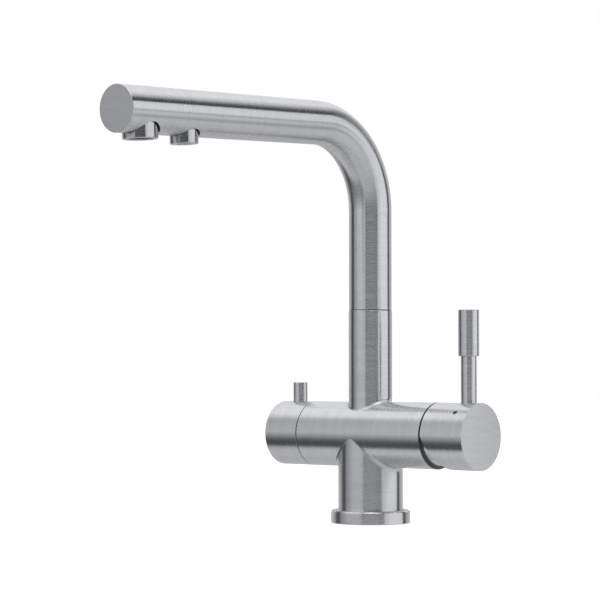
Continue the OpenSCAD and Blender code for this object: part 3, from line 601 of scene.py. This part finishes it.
axis_y = Vector((0, 1, 0))
knob_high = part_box("mixer_knob")[1] / mm
knob_wall = 2.9
knob_slant = 28
slant_scale = 1.2
dome_room = 0.4
room_steps = 6
knob_face_h = 3.4
hub_r = 9
hub_inset = 11
stem_hole_r = 4.05
stem_hole_l = 27.1
lever_r = 5
lever_seat = 5
seat_room = 0.05
screw_r = 1.5
screw_angle = 44
screw_steps = 32
lever_x = 79.6
drill_over = 2
rim_w = 1


def apply_modifiers(piece):
    """Makes a piece's modifiers part of its mesh."""
    bpy.context.view_layer.objects.active = piece
    for modifier in list(piece.modifiers):
        bpy.ops.object.modifier_apply(modifier=modifier.name)


def cut(piece, tool):
    """Takes the tool's shape out of the piece, and removes the tool."""
    change = piece.modifiers.new("cut", "BOOLEAN")
    change.object = tool
    change.solver = "EXACT"
    apply_modifiers(piece)
    bpy.data.objects.remove(tool)


def drill(radius, foot, way, start, end, steps=64):
    """A round cutter from start to end along way from foot, in millimetres."""
    bpy.ops.mesh.primitive_cylinder_add(vertices=steps, radius=radius * mm, depth=(end - start) * mm)
    tool = bpy.context.object
    tool.data.transform(Matrix.Translation((0, 0, (start + end) / 2 * mm)))
    lie_along(tool, way, Vector(foot) * mm)
    return tool


def round_knob(co, centre):
    """Grain that runs round the barrel's axis, and straight across the knob's face."""
    return co.x, Vector((co.x, 0, barrel_z * mm)), axis_x, axis_y


def tilted(angle):
    """The way out of a knob at angle degrees from the top, towards the front."""
    turn = math.radians(angle)
    return Vector((0, -math.sin(turn), math.cos(turn)))


knob_l = knob_high.x - pivot_x
room_r = dome_r + dome_room
room_l = math.sqrt(room_r ** 2 - (barrel_r - knob_wall) ** 2)
knob = turned("mixing_knob", [
    (0, knob_l), (barrel_r, knob_l), (barrel_r, 0), *ball_line(room_r, 0, room_l, room_steps),
    (barrel_r - knob_wall, knob_l - knob_face_h), (hub_r, knob_l - knob_face_h), (hub_r, hub_inset),
    (stem_hole_r, hub_inset), (stem_hole_r, stem_hole_l), (0, stem_hole_l)])
lie_along(knob, axis_x, Vector((pivot_x, 0, barrel_z)) * mm)
bpy.ops.mesh.primitive_cube_add(size=2 * barrel_r * mm)
slant = bpy.context.object
slant.data.transform(Matrix.Scale(slant_scale, 4))
slant.data.transform(Matrix.Translation((-slant_scale * barrel_r * mm, 0, -slant_scale * barrel_r * mm)))
slant.data.transform(Matrix.Rotation(math.radians(-knob_slant), 4, "Y"))
slant.data.transform(Matrix.Translation(Vector((pivot_x, 0, barrel_z)) * mm))
cut(knob, slant)
knob_axis = (lever_x, 0, barrel_z)
cut(knob, drill(lever_r + seat_room, knob_axis, tilted(0), barrel_r - lever_seat, barrel_r + drill_over))
cut(knob, drill(screw_r + seat_room, knob_axis, tilted(screw_angle), stem_hole_r, barrel_r + drill_over,
                screw_steps))
soften(knob, body_edge, lambda e: math.hypot(middle(e).y, middle(e).z - barrel_z) > barrel_r - rim_w)
dress(knob, satin_steel, "mixing_lever", ["mixer_knob"], round_knob)
finish_nodes(barrel_brass, "lever_stem")
finish_nodes(spring_steel, "knob_grub_screw")

# Hot and cold mark
# Two half discs, moulded and pressed in the hole over the grub screw: red for hot in front and blue for
# cold behind.

# ABS, moulded in a polished tool: deep, even colour with a wet gloss
red_abs = moulded("red_gloss_abs", "7A1418", "661012", roughness=0.2, grain_size=0.3, bump=0.03,
                  ior=1.54)
blue_abs = moulded("blue_gloss_abs", "12172E", "0D1124", roughness=0.2, grain_size=0.3, bump=0.03,
                   ior=1.54)
finish_nodes(red_abs, "indicator_red")
finish_nodes(blue_abs, "indicator_blue")

# Lever
# A drawn stainless bar pressed in the knob, with a thicker grip turned from the same steel and screwed
# on its upper end. Both are brushed round.

rod_low, rod_high = (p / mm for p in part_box("lever_rod"))
grip_low, grip_high = (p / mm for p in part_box("lever_grip"))
grip_r = grip_high.y
grip_round = 0.4
grip_end_room = 0.1
spigot_r = 3
slim_steps = 96
lever_shoulder = grip_low.z - seat_room
lever_foot = barrel_z + barrel_r - lever_seat + seat_room
grip_bore_top = rod_high.z + grip_end_room

rod = turned("lever_bar", [
    (0, rod_low.z), (spigot_r, rod_low.z), (spigot_r, lever_foot), (lever_r, lever_foot),
    (lever_r, lever_shoulder), (spigot_r, lever_shoulder), (spigot_r, rod_high.z), (0, rod_high.z)],
    slim_steps)
lie_along(rod, axis_z, Vector((lever_x, 0, 0)) * mm)
dress(rod, satin_steel, "mixing_lever", ["lever_rod"], round_upright(lever_x))
grip = turned("lever_grip_sleeve", [
    (spigot_r + seat_room, grip_low.z), (grip_r, grip_low.z), (grip_r, grip_high.z), (0, grip_high.z),
    (0, grip_bore_top), (spigot_r + seat_room, grip_bore_top), (spigot_r + seat_room, grip_low.z)],
    slim_steps)
soften(grip, grip_round, lambda e: middle(e).xy.length > grip_r - grip_round)
lie_along(grip, axis_z, Vector((lever_x, 0, 0)) * mm)
dress(grip, satin_steel, "mixing_lever", ["lever_grip"], round_upright(lever_x))

# Filter knob and its pin
# Turned and bored as the mixing knob is, and held on the valve's spindle by a grub screw at the back.
# The pin that turns it is a short stainless bar pressed in its top.

filter_low, filter_high = (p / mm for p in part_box("filter_knob"))
pin_low, pin_high = (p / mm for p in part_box("filter_pin"))
pin_x = (pin_low.x + pin_high.x) / 2
pin_r = pin_high.y
pin_spigot_r = 2.5
pin_round = 0.5
filter_hub_inset = 7.6
filter_hub_r = 8.5
spindle_hole_l = 19.2
filter_l = filter_high.x - filter_low.x
filter_knob = turned("filter_turning_knob", [
    (0, filter_l), (barrel_r, filter_l), (barrel_r, 0), (barrel_r - knob_wall, 0),
    (barrel_r - knob_wall, filter_l - knob_face_h), (filter_hub_r, filter_l - knob_face_h),
    (filter_hub_r, filter_hub_inset), (stem_hole_r, filter_hub_inset), (stem_hole_r, spindle_hole_l),
    (0, spindle_hole_l)])
lie_along(filter_knob, -axis_x, Vector((filter_high.x, 0, barrel_z)) * mm)
filter_axis = (pin_x, 0, barrel_z)
cut(filter_knob, drill(pin_r + seat_room, filter_axis, tilted(0), barrel_r - lever_seat,
                       barrel_r + drill_over))
cut(filter_knob, drill(screw_r + seat_room, filter_axis, tilted(-90), stem_hole_r, barrel_r + drill_over,
                       screw_steps))
soften(filter_knob, body_edge,
       lambda e: math.hypot(middle(e).y, middle(e).z - barrel_z) > barrel_r - rim_w)
dress(filter_knob, satin_steel, "filter_handle", ["filter_knob"], round_x)
finish_nodes(spring_steel, "filter_knob_screw")

pin = turned("filter_turning_pin", [
    (0, pin_low.z), (pin_spigot_r, pin_low.z), (pin_spigot_r, lever_foot), (pin_r, lever_foot),
    (pin_r, pin_high.z), (0, pin_high.z)], slim_steps)
soften(pin, pin_round, lambda e: middle(e).z > pin_high.z - pin_round)
lie_along(pin, axis_z, Vector((pin_x, 0, 0)) * mm)
dress(pin, satin_steel, "filter_handle", ["filter_pin"], round_upright(pin_x))

# Spout tube
# Stainless tube of 28 mm, bent once on a mandrel, brushed round and polished off. Its foot turns on
# the column, and two holes are cut in the underside of its arm for the outlets.

tube_low, tube_high = (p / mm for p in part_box("spout_tube"))
tube_r = tube_high.x
tube_wall = 1.2
bend_r = 53
droop = 3
reach = 229.9
crown_z = 260.1
cap_h = 1.5
bend_angle = math.radians(90 + droop)
tangent_l = bend_r * math.tan(bend_angle / 2)
bend_z = crown_z - tangent_l
arm_way = Vector((0, -math.cos(math.radians(droop)), -math.sin(math.radians(droop))))
arm_up = Vector((0, -math.sin(math.radians(droop)), math.cos(math.radians(droop))))
arm_start = Vector((0, 0, crown_z)) + arm_way * tangent_l
arm_end = Vector((0, 0, crown_z)) + arm_way * reach
foot_rows = 8
bend_steps = 64
arm_rows = 16
foot_reach = 1.1 * tube_r
# How far each outlet is from the end of the arm, and the radius of its collar
outlets = {"aerator": (18.3, 10.5), "nozzle": (54.3, 8.5)}
hole_room = 1.2
hole_round = 0.2
holes_reach = 80


def grain_of_spout(co, centre):
    """Grain that runs round the tube's centre line: up the foot, round the bend and out along the arm."""
    if centre.z < bend_z * mm and centre.y > -foot_reach * mm:
        return co.z, Vector((0, 0, co.z)), axis_z, axis_x
    pivot = Vector((0, -bend_r, bend_z)) * mm
    spoke = Vector((0, co.y, co.z)) - pivot
    angle = math.atan2(spoke.z, spoke.y)
    along = (centre - arm_start * mm).dot(arm_way)
    if along > 0:
        far = (co - arm_start * mm).dot(arm_way)
        return (bend_z + bend_r * bend_angle) * mm + far, arm_start * mm + arm_way * far, arm_way, axis_x
    foot = pivot + spoke.normalized() * bend_r * mm
    way = Vector((0, -math.sin(angle), math.cos(angle)))
    return bend_z * mm + bend_r * mm * angle, foot, way, axis_x


bpy.ops.mesh.primitive_circle_add(vertices=round_steps, radius=tube_r * mm, fill_type="NOTHING",
                                  location=(0, 0, tube_low.z * mm))
tube = bpy.context.object
tube.name = "bent_spout_tube"
bpy.ops.object.transform_apply(location=True, rotation=True, scale=True)
edit(tube, "EDGE", lambda e: True)
for _ in range(foot_rows):
    bpy.ops.mesh.extrude_region_move(
        TRANSFORM_OT_translate={"value": axis_z * (bend_z - tube_low.z) / foot_rows * mm})
# Spin turns the other way from the right hand rule, so this axis takes the tube forwards and down
bpy.ops.mesh.spin(steps=bend_steps, angle=bend_angle, center=Vector((0, -bend_r, bend_z)) * mm,
                  axis=-axis_x)
arm_l = reach - tangent_l - cap_h
for _ in range(arm_rows):
    bpy.ops.mesh.extrude_region_move(TRANSFORM_OT_translate={"value": arm_way * arm_l / arm_rows * mm})
bpy.ops.mesh.select_all(action="SELECT")
bpy.ops.mesh.remove_doubles(threshold=merge_gap * mm)
bpy.ops.mesh.normals_make_consistent(inside=False)
leave()
wall = tube.modifiers.new("wall", "SOLIDIFY")
wall.thickness = tube_wall * mm
wall.offset = -1
apply_modifiers(tube)
for inset, collar_r in outlets.values():
    spot = arm_end - arm_way * inset
    cut(tube, drill(collar_r + hole_room, spot, -arm_up, 0, 2 * tube_r, slim_steps))
soften(tube, hole_round, lambda e: middle(e).z > bend_z and (middle(e) - arm_end).length < holes_reach)
dress(tube, satin_steel, "spout", ["spout_tube"], grain_of_spout)

# Spout end cap
# A turned stainless disc pressed and bonded in the end of the arm. Its face is brushed straight, and
# its joint with the tube is brushed away.

cap_plug_h = 3.5
cap_round = 0.4
bond_room = 0.1
cap_plug_r = tube_r - tube_wall - bond_room
cap = turned("spout_end_disc", [
    (0, 0), (tube_r, 0), (tube_r, cap_h), (cap_plug_r, cap_h), (cap_plug_r, cap_h + cap_plug_h),
    (0, cap_h + cap_plug_h)])
soften(cap, cap_round, lambda e: middle(e).z < cap_round)
lie_along(cap, -arm_way, arm_end * mm)
dress(cap, satin_steel, "spout", ["spout_end_cap"], grain_of_spout)

# Swivel
# A brass spigot brazed in the spout's foot turns in the column on two PTFE rings, with two O-rings
# between them. A dark acetal washer shows as a hairline in the seam. A steel screw stops the turn.

# PTFE, sintered and split: chalk white and waxy
sintered_ptfe = moulded("white_ptfe", "EFEDE8", "E3E1DB", roughness=0.35, grain_size=0.6, bump=0.1,
                        ior=1.38)
finish_nodes(turned_brass, "swivel_spigot", "filter_ferrule")
finish_nodes(sintered_ptfe, "glide_rings")
# Acetal coloured with carbon black, moulded: dark grey with a low sheen
dark_acetal = moulded("dark_moulded_acetal", "2E2F31", "242527", roughness=0.45, grain_size=0.5, bump=0.15,
                      ior=1.48)
finish_nodes(dark_acetal, "glide_washer")
finish_nodes(black_rubber, "spigot_o_rings", "ferrule_o_ring")
finish_nodes(spring_steel, "swivel_stop_screw")

# Filter tube
# A thin extruded tube inside the spout that keeps the filtered water apart from the mixed water. It is
# pressed over the brass ferrule in the column and into the outlet block.

# Polyethylene with no colour in it: milky and waxy
milky_tube = moulded("natural_polyethylene", "DDE3E4", "CFD6D8", roughness=0.38, grain_size=0.8, bump=0.08,
                     ior=1.51)
finish_nodes(milky_tube, "filter_tube")

# Outlets
# A black acetal block in the end of the arm takes two threaded stainless collars. The large one holds
# the honeycomb for the mixed water, and the small one the jets for the filtered water.

collar_steps = 128
collar_lip_h = 1
mouth_chamfer = 0.45
# How far each collar stands out of the tube, where its seat, thread and bore are, and its inner lip
collar_shapes = {
    "aerator": {"node": "aerator_housing", "drop": 3, "seat": 7.6, "thread_r": 9.4, "bore_r": 8.4,
                "lip": 0.7, "top": 1},
    "nozzle": {"node": "filter_nozzle", "drop": 4.5, "seat": 9.3, "thread_r": 6.4, "bore_r": 5,
               "lip": 0.5, "top": 3}}


def round_outlet(inset):
    """Grain that runs round an outlet, inset from the end of the arm."""
    spot = (arm_end - arm_way * inset) * mm

    def place(co, centre):
        rise = (co - spot).dot(arm_up)
        return rise, spot + arm_up * rise, arm_up, axis_x
    return place


# Stainless steel left as turned, smoother than the brushed pieces, so its lights are crisper. The tool
# lines are drawn 0.4 mm apart, four times as coarse as they are, so that they show.
turned_steel = brushed_steel("turned_stainless_steel", "C6C8CB", "BEC0C3", roughness=0.18, line_gap=0.4,
                             stroke=9)

for name, (inset, collar_r) in outlets.items():
    shape = collar_shapes[name]
    bottom = -tube_r - shape["drop"]
    seat = -shape["seat"] - seat_room
    top, thread_r, bore_r = -shape["top"], shape["thread_r"], shape["bore_r"]
    lip_top, lip_r = bottom + collar_lip_h, bore_r - shape["lip"]
    collar = turned(name + "_collar", [
        (collar_r, bottom), (collar_r, seat), (thread_r, seat), (thread_r, top), (bore_r, top),
        (bore_r, lip_top), (lip_r, lip_top), (lip_r, bottom), (collar_r, bottom)], collar_steps)
    soften(collar, mouth_chamfer, lambda e: middle(e).z < bottom + mouth_chamfer, segments=1)
    lie_along(collar, arm_up, (arm_end - arm_way * inset) * mm)
    dress(collar, turned_steel, "spout", [shape["node"]], round_outlet(inset))

finish_nodes(dark_acetal, "outlet_block", "aerator_insert", "nozzle_insert")
finish_nodes(black_rubber, "aerator_washer", "nozzle_washer")

# Floor, light and camera
# A plain white floor in a plain soft studio: a light box on each side, one overhead, and dark gaps
# between them, which the brushed steel shows as its light and dark bands.

# The camera that the photograph's outlines give: its place in metres, its angles in degrees, and its
# focal length in the photograph's pixels
camera_place = (0.800083, -0.987219, 0.094667)
camera_turn = 41.106
camera_rise = 2.295
focal_px = 1934.223
picture_px = 600
sensor_mm = 36
floor_m = 12
floor_glow = 0.62
sides_meet = 20
rear_from, rear_to = 135, 146

camera_data = bpy.data.cameras.new("camera")
camera = bpy.data.objects.new("camera", camera_data)
bpy.context.scene.collection.objects.link(camera)
camera.location = camera_place
camera.rotation_euler = (math.radians(90 + camera_rise), 0, math.radians(camera_turn))
camera_data.sensor_width = sensor_mm
camera_data.lens = sensor_mm * focal_px / picture_px
bpy.context.scene.camera = camera

bpy.ops.mesh.primitive_plane_add(size=floor_m)
floor = bpy.context.object
floor.name = "floor"
floor.visible_glossy = False
# Studio paper: matt white. A glow that only the camera sees takes it up to plain white and leaves the
# tap's soft shadow. The steel mirrors the light boxes, and not the floor.
paper, tree, shader = start_finish("white_paper")
shader.inputs["Base Color"].default_value = linear("D9D9D9")
shader.inputs["Roughness"].default_value = 0.9
shader.inputs["Emission Color"].default_value = linear("FFFFFF")
seen = add(tree, "ShaderNodeLightPath").outputs["Is Camera Ray"]
fill = add(tree, "ShaderNodeMath", {"operation": "MULTIPLY", 1: floor_glow}, {0: seen})
tree.links.new(fill.outputs["Value"], shader.inputs["Emission Strength"])
floor.data.materials.append(paper)

world = bpy.data.worlds.new("studio")
bpy.context.scene.world = world
world.use_nodes = True
tree = world.node_tree
sky = tree.nodes["Background"]
# The angle round from the camera's side of the room, and the angle up, in radians
direction = add(tree, "ShaderNodeTexCoord").outputs["Generated"]
facing = add(tree, "ShaderNodeVectorRotate",
             {"rotation_type": "Z_AXIS", "Angle": -math.radians(camera_turn)}, {"Vector": direction})
split = add(tree, "ShaderNodeSeparateXYZ", links={"Vector": facing.outputs["Vector"]})
flipped = add(tree, "ShaderNodeMath", {"operation": "MULTIPLY", 1: -1}, {0: split.outputs["Y"]})
around = add(tree, "ShaderNodeMath", {"operation": "ARCTAN2"},
             {0: split.outputs["X"], 1: flipped.outputs["Value"]})
height = add(tree, "ShaderNodeMath", {"operation": "ARCSINE"}, {0: split.outputs["Z"]})


def ramp(value, low, high, stops):
    """Grey levels over an angle in degrees, read from a value in radians."""
    share = add(tree, "ShaderNodeMapRange",
                {"From Min": math.radians(low), "From Max": math.radians(high)}, {"Value": value})
    made = add(tree, "ShaderNodeValToRGB", links={"Fac": share.outputs["Result"]})
    elements = made.color_ramp.elements
    elements.remove(elements[0])
    for n, (angle, level) in enumerate(stops):
        spot = (angle - low) / (high - low)
        one = elements.new(spot) if n else elements[0]
        one.position = spot
        one.color = (*level, 1) if isinstance(level, tuple) else (level, level, level, 1)
    return made.outputs["Color"]


# Degrees round from the camera, to the right: red is the level of the light boxes and of the gaps
# between them, and green says where the front of the room takes over
ring = ramp(around.outputs["Value"], -180, 180, [
    (-180, (0.6, 0, 0)), (-127, (0.6, 0, 0)), (-122, (0.06, 0, 0)), (-105, (0.05, 0, 0)),
    (-99, (0.54, 0, 0)), (-85, (0.67, 0, 0)), (-70, (0.96, 0, 0)), (-42, (1.02, 0, 0)), (-30, (0.9, 0, 0)),
    (-27, (0.9, 1, 0)), (36, (0.8, 1, 0)), (40, (0.8, 0, 0)), (60, (1.14, 0, 0)), (88, (1.12, 0, 0)),
    (98, (1.04, 0, 0)), (104.5, (1.14, 0, 0)), (107.5, (0.04, 0, 0)), (119, (0.05, 0, 0)),
    (127, (0.6, 0, 0)), (180, (0.6, 0, 0))])
# Degrees up: red says how much of the ring is seen there, green is the level of the rest
left = ramp(height.outputs["Value"], -90, 90, [
    (-90, (0, 0.4, 0)), (-62, (0, 0.5, 0)), (-50, (0, 0.75, 0)), (-39, (0, 0.78, 0)), (-37, (0, 0.08, 0)),
    (-22, (0, 0.07, 0)), (-15, (0.05, 0.15, 0)), (-9, (0.28, 0.13, 0)), (-3, (0.5, 0.1, 0)),
    (3, (0.84, 0, 0)), (28, (0.84, 0, 0)), (38, (0.4, 0.42, 0)), (44, (0, 0.85, 0)), (48, (0, 1.05, 0)),
    (52, (0, 1.7, 0)), (57, (0, 0.95, 0)), (90, (0, 0.85, 0))])
right = ramp(height.outputs["Value"], -90, 90, [
    (-90, (0, 0.6, 0)), (-30, (0, 0.7, 0)), (-24, (0, 0.64, 0)), (-22, (0, 0.48, 0)),
    (-20.5, (0, 0.48, 0)), (-18.5, (0.72, 0, 0)), (-8, (0.78, 0.06, 0)), (-3, (0.4, 0.1, 0)),
    (2, (0.96, 0.02, 0)), (5, (1.05, 0, 0)), (26, (1.05, 0, 0)), (27, (0, 0.02, 0)), (35, (0, 0.02, 0)),
    (39, (0, 0.15, 0)), (43, (0, 0.45, 0)), (48, (0, 0.95, 0)), (60, (0, 1.1, 0)), (90, (0, 0.95, 0))])
front = ramp(height.outputs["Value"], -90, 90, [
    (-90, 0.6), (-14, 0.6), (-5, 0.42), (0, 0), (20, 0), (26, 0.3), (34, 0.5), (42, 1.2), (55, 1.7),
    (90, 1.7)])
rear = ramp(height.outputs["Value"], -90, 90, [(-90, 0.62), (12, 0.58), (26, 1), (90, 1.05)])
# The left and right sides meet in front of the tap. A Mix node's sockets go by number here: 0 is the
# share, 2 and 3 are its numbers, and 6 and 7 its colours.
side = add(tree, "ShaderNodeMapRange",
           {"From Min": -math.radians(sides_meet), "From Max": math.radians(sides_meet)},
           {"Value": around.outputs["Value"]})
mixed = add(tree, "ShaderNodeMix", {"data_type": "RGBA"},
            {0: side.outputs["Result"], 6: left, 7: right})
shares = add(tree, "ShaderNodeSeparateColor", links={"Color": mixed.outputs[2]})
boxes = add(tree, "ShaderNodeSeparateColor", links={"Color": ring})
sides = add(tree, "ShaderNodeMath", {"operation": "MULTIPLY_ADD"},
            {0: boxes.outputs["Red"], 1: shares.outputs["Red"], 2: shares.outputs["Green"]})
room = add(tree, "ShaderNodeMix", {"data_type": "FLOAT"},
           {0: boxes.outputs["Green"], 2: sides.outputs["Value"], 3: front})
off_front = add(tree, "ShaderNodeMath", {"operation": "ABSOLUTE"}, {0: around.outputs["Value"]})
behind = add(tree, "ShaderNodeMapRange",
             {"From Min": math.radians(rear_from), "From Max": math.radians(rear_to)},
             {"Value": off_front.outputs["Value"]})
lit = add(tree, "ShaderNodeMix", {"data_type": "FLOAT"},
          {0: behind.outputs["Result"], 2: room.outputs[0], 3: rear})
# The camera itself sees a plain white room
seen = add(tree, "ShaderNodeLightPath").outputs["Is Camera Ray"]
level = add(tree, "ShaderNodeMix", {"data_type": "FLOAT", 3: 1.0}, {0: seen, 2: lit.outputs[0]})
tree.links.new(level.outputs[0], sky.inputs["Color"])

bpy.context.scene.view_settings.view_transform = "Standard"
